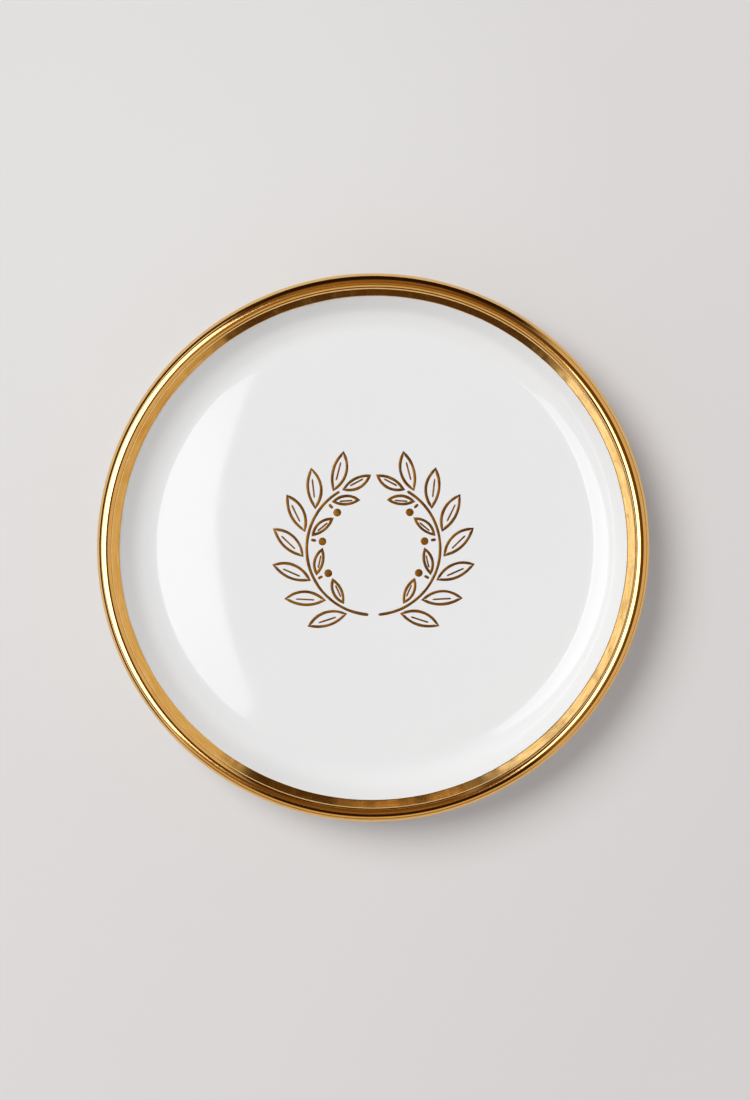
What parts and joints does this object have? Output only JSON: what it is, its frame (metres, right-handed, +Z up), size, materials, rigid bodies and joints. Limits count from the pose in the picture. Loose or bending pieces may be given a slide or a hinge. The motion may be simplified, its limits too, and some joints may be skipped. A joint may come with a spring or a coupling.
{
  "type": "ring dish",
  "caption": "Shallow round porcelain ring dish with a flat floor, sloped wall, full-round gilded lip, gilt inner band and a gold leaf wreath printed on the floor.",
  "frame": {"origin": "centre of the foot ring's ground face, on the surface that the dish stands on", "axes": "+Z up along the dish axis, +Y towards the top of the printed wreath, +X to its right"},
  "size_m": [0.11, 0.11, 0.012],
  "materials": {
    "glazed_porcelain": "gloss",
    "gold_lustre": "polished",
    "gold_satin": "satin",
    "gold_print": "satin"
  },
  "bodies": {
    "root": {"dish_body": "glazed_porcelain", "gilt_lip": "gold_lustre", "gilt_inner_band": "gold_satin", "print_stem_left": "gold_print", "print_outer_leaves_left": "gold_print", "print_inner_leaves_left": "gold_print", "print_tip_leaf_left": "gold_print", "print_berries_left": "gold_print", "print_stem_right": "gold_print", "print_outer_leaves_right": "gold_print", "print_inner_leaves_right": "gold_print", "print_tip_leaf_right": "gold_print", "print_berries_right": "gold_print"}
  },
  "joints": []
}
